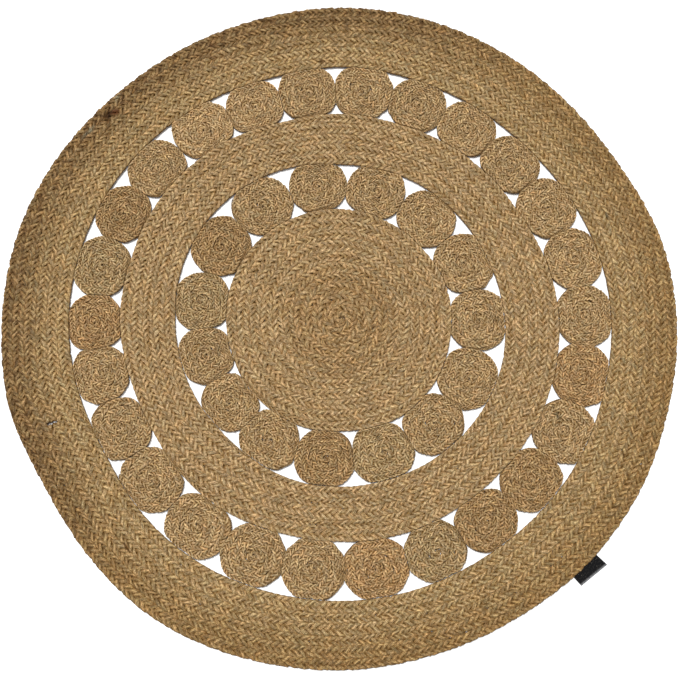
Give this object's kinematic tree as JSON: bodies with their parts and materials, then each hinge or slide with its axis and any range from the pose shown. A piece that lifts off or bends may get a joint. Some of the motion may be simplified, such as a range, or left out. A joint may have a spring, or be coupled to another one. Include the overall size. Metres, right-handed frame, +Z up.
{
  "type": "round jute rug",
  "caption": "Flat round rug of coiled jute braid: a centre disc and two bands joined by rings of small coiled rosettes, open between them, with a blank tape label at the rim.",
  "frame": {"origin": "centre of the centre disc's flat underside, on the floor", "axes": "+Z up out of the floor; +X and +Y lie in the rug, with the label at bearing 314 degrees from +X towards +Y"},
  "size_m": [1.208, 1.206, 0.009],
  "materials": {
    "braided_jute": "matt, braided",
    "rosette_jute": "matt, finely braided",
    "label_tape": "satin woven tape"
  },
  "bodies": {
    "root": {"centre_disc": "braided_jute", "inner_rosette_01": "rosette_jute", "inner_rosette_02": "rosette_jute", "inner_rosette_03": "rosette_jute", "inner_rosette_04": "rosette_jute", "inner_rosette_05": "rosette_jute", "inner_rosette_06": "rosette_jute", "inner_rosette_07": "rosette_jute", "inner_rosette_08": "rosette_jute", "inner_rosette_09": "rosette_jute", "inner_rosette_10": "rosette_jute", "inner_rosette_11": "rosette_jute", "inner_rosette_12": "rosette_jute", "inner_rosette_13": "rosette_jute", "inner_rosette_14": "rosette_jute", "inner_rosette_15": "rosette_jute", "middle_band": "braided_jute", "outer_rosette_01": "rosette_jute", "outer_rosette_02": "rosette_jute", "outer_rosette_03": "rosette_jute", "outer_rosette_04": "rosette_jute", "outer_rosette_05": "rosette_jute", "outer_rosette_06": "rosette_jute", "outer_rosette_07": "rosette_jute", "outer_rosette_08": "rosette_jute", "outer_rosette_09": "rosette_jute", "outer_rosette_10": "rosette_jute", "outer_rosette_11": "rosette_jute", "outer_rosette_12": "rosette_jute", "outer_rosette_13": "rosette_jute", "outer_rosette_14": "rosette_jute", "outer_rosette_15": "rosette_jute", "outer_rosette_16": "rosette_jute", "outer_rosette_17": "rosette_jute", "outer_rosette_18": "rosette_jute", "outer_rosette_19": "rosette_jute", "outer_rosette_20": "rosette_jute", "outer_rosette_21": "rosette_jute", "outer_rosette_22": "rosette_jute", "outer_rosette_23": "rosette_jute", "outer_rosette_24": "rosette_jute", "outer_rosette_25": "rosette_jute", "outer_rosette_26": "rosette_jute", "outer_band": "braided_jute", "label": "label_tape"}
  },
  "joints": []
}
